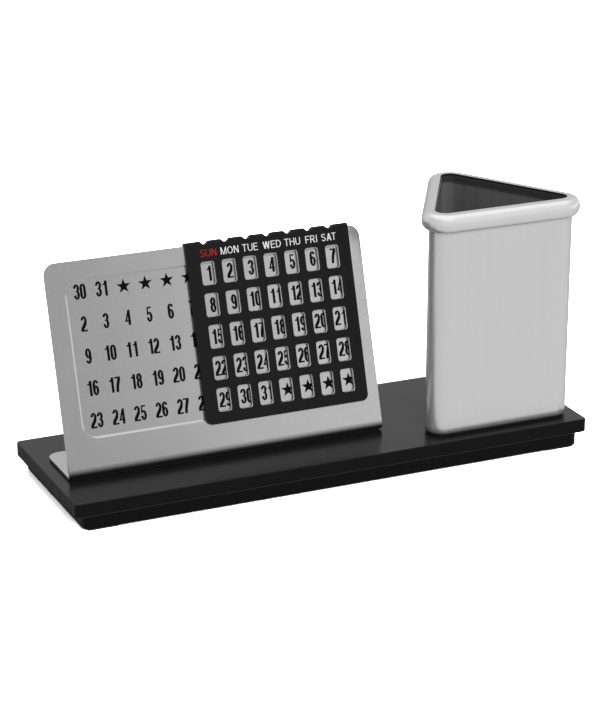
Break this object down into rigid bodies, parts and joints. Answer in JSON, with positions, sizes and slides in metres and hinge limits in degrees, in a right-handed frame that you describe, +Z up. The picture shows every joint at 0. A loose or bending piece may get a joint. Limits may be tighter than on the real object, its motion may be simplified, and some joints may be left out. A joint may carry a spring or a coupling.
{
  "type": "desk calendar with pen cup",
  "caption": "Perpetual desk calendar: a leaning metal date plate with a sliding window frame, beside a three-sided pen cup, on a stepped black base.",
  "frame": {"origin": "on the table, under the middle of the base", "axes": "+X along the base towards the cup, +Y to the back, +Z up"},
  "size_m": [0.248, 0.0804, 0.1174],
  "materials": {
    "board_black": "satin black lacquered fibreboard",
    "plinth_black": "satin black lacquered fibreboard",
    "foot_rubber": "matte",
    "tape": "matte black foam tape",
    "plate_aluminium": "satin, fine grain",
    "slider_black": "matte black sheet with printed day names",
    "cup_aluminium": "satin, drawn",
    "liner_black": "matte"
  },
  "bodies": {
    "stand": {"base_board": "board_black", "base_plinth": "plinth_black", "foot_front_left": "foot_rubber", "foot_front_right": "foot_rubber", "foot_rear_left": "foot_rubber", "foot_rear_right": "foot_rubber", "plate_tape": "tape", "calendar_plate": "plate_aluminium", "cup_tape": "tape", "cup_shell": "cup_aluminium", "cup_liner": "liner_black"},
    "slider": {"date_slider": "slider_black"}
  },
  "joints": [
    {"name": "date_slide", "type": "slide", "parent": "stand", "child": "slider", "axis": [1, 0, 0], "range_m": [-0.065, 0.0055]}
  ]
}
